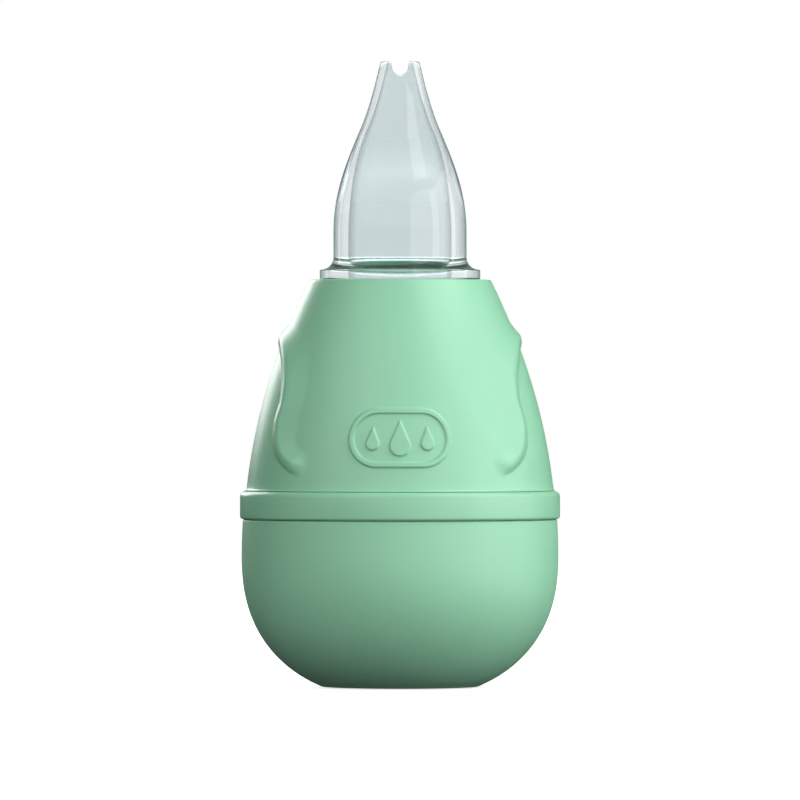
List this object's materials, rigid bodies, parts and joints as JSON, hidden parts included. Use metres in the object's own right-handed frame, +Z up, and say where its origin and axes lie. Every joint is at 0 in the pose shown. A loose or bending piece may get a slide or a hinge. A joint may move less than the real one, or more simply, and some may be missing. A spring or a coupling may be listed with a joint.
{
  "type": "nasal aspirator",
  "caption": "Bulb nasal aspirator for babies: a clear notched nozzle plugs into a squeeze bulb with finger rests, a snap ring and a flat thumb base.",
  "frame": {"origin": "centre of the flat base that the bulb stands on", "axes": "+Z up along the nozzle; -Y towards the front, where the emblem is; the finger rests face +X and -X"},
  "size_m": [0.056, 0.056, 0.1093],
  "materials": {
    "clear_silicone": "clear, smooth and glossy silicone with a faint blue-grey tint",
    "firm_green": "satin mint green",
    "soft_green": "satin mint green soft-touch elastomer"
  },
  "bodies": {
    "upper": {"upper_shell": "firm_green"},
    "nozzle": {"nozzle": "clear_silicone"},
    "ring": {"lock_ring": "firm_green"},
    "bowl": {"squeeze_bowl": "soft_green"}
  },
  "joints": [
    {"name": "nozzle_pull", "type": "slide", "parent": "upper", "child": "nozzle", "axis": [0, 0, 1], "range_m": [0, 0.014]},
    {"name": "ring_pull", "type": "slide", "parent": "upper", "child": "ring", "axis": [0, 0, -1], "range_m": [0, 0.012]},
    {"name": "bowl_press", "type": "slide", "parent": "ring", "child": "bowl", "axis": [0, 0, 1], "range_m": [0, 0.012], "stiffness_N_per_m": 800, "springref_m": -0.002, "deforming": ["squeeze_bowl"]}
  ]
}
